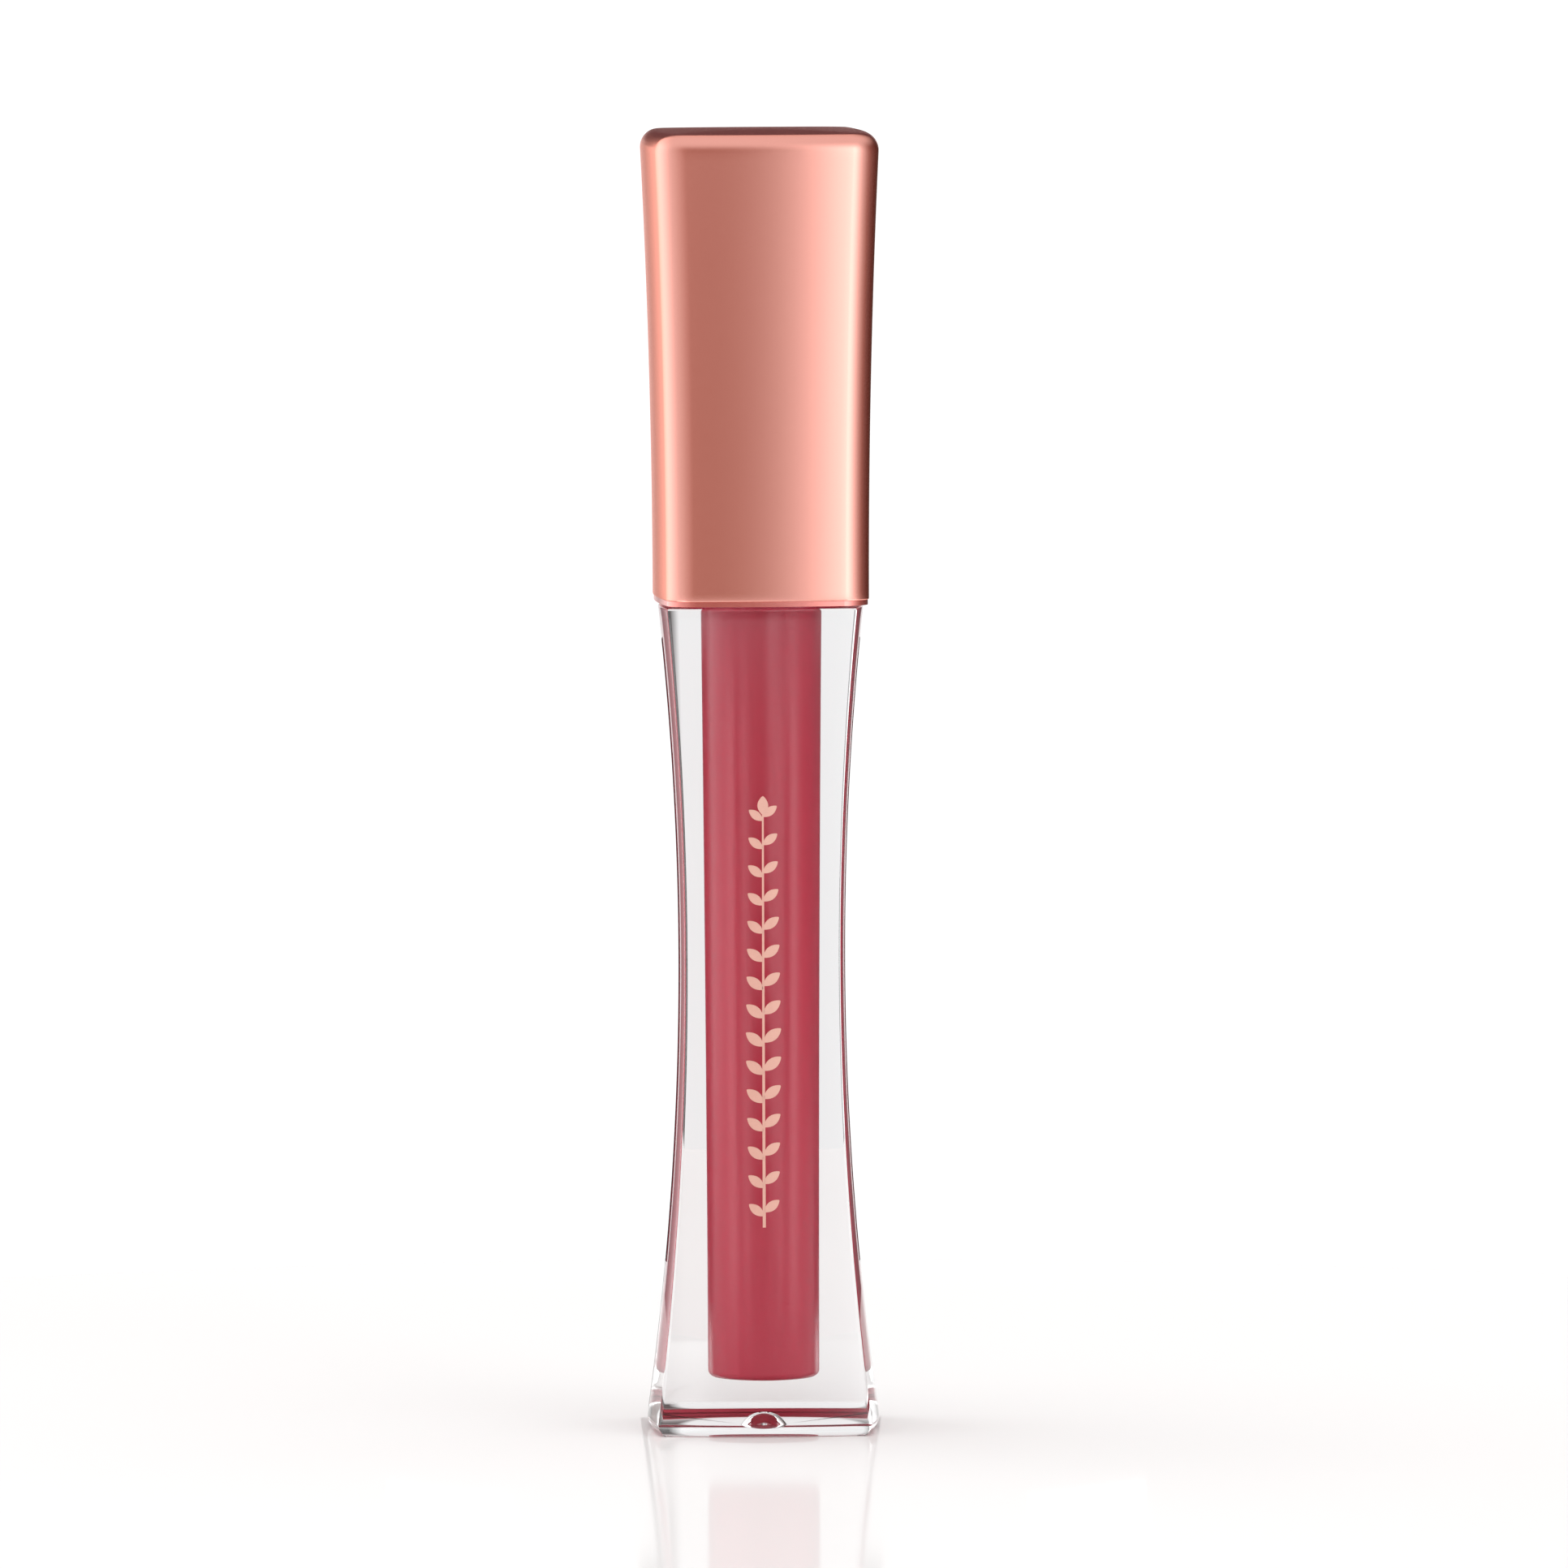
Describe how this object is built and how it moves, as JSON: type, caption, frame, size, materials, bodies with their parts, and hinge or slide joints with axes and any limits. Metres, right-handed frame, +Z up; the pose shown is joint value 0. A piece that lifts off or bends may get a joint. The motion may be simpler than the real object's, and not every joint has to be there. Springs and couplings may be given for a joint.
{
  "type": "lip gloss tube",
  "caption": "Slim clear flared lip gloss bottle with a screw cap that carries a wand and a flocked doe-foot applicator.",
  "frame": {"origin": "centre of the flat face that the bottle stands on", "axes": "+Z up along the bottle's axis towards the cap; the front, which carries the printed ornament, faces -Y; +X to the right seen from the front; the cap is screwed home 4.3 degrees past square"},
  "size_m": [0.021, 0.021, 0.115],
  "materials": {
    "clear_plastic": "clear polished",
    "soft_white": "translucent soft",
    "gloss_liquid": "wet creamy",
    "metallised_rose": "satin metallised rose gold",
    "rose_plastic": "satin",
    "rod_plastic": "natural moulded",
    "tip_plastic": "moulded",
    "flock_fibre": "short nylon flock, stained by the gloss"
  },
  "bodies": {
    "bottle_body": {"bottle": "clear_plastic", "wiper": "soft_white", "gloss": "gloss_liquid"},
    "lift_carrier": {"seal_liner": "soft_white"},
    "wand": {"wand_rod": "rod_plastic"},
    "cap": {"outer_cap": "metallised_rose", "inner_cap": "rose_plastic", "applicator_tip": "tip_plastic", "applicator_flock": "flock_fibre"}
  },
  "joints": [
    {"name": "cap_lift", "type": "slide", "parent": "bottle_body", "child": "lift_carrier", "axis": [0, 0, 1], "range_m": [0, 0.085]},
    {"name": "cap_rise", "type": "slide", "parent": "lift_carrier", "child": "wand", "axis": [0, 0, 1], "range_m": [0, 0.0046]},
    {"name": "cap_turn", "type": "hinge", "parent": "wand", "child": "cap", "pos_m": [0, 0, 0.08], "axis": [0, 0, 1], "range_deg": [0, 540]}
  ],
  "couplings": [
    {"joint": "cap_rise", "follows": "cap_turn", "m_per_rad": 0.00047746}
  ]
}
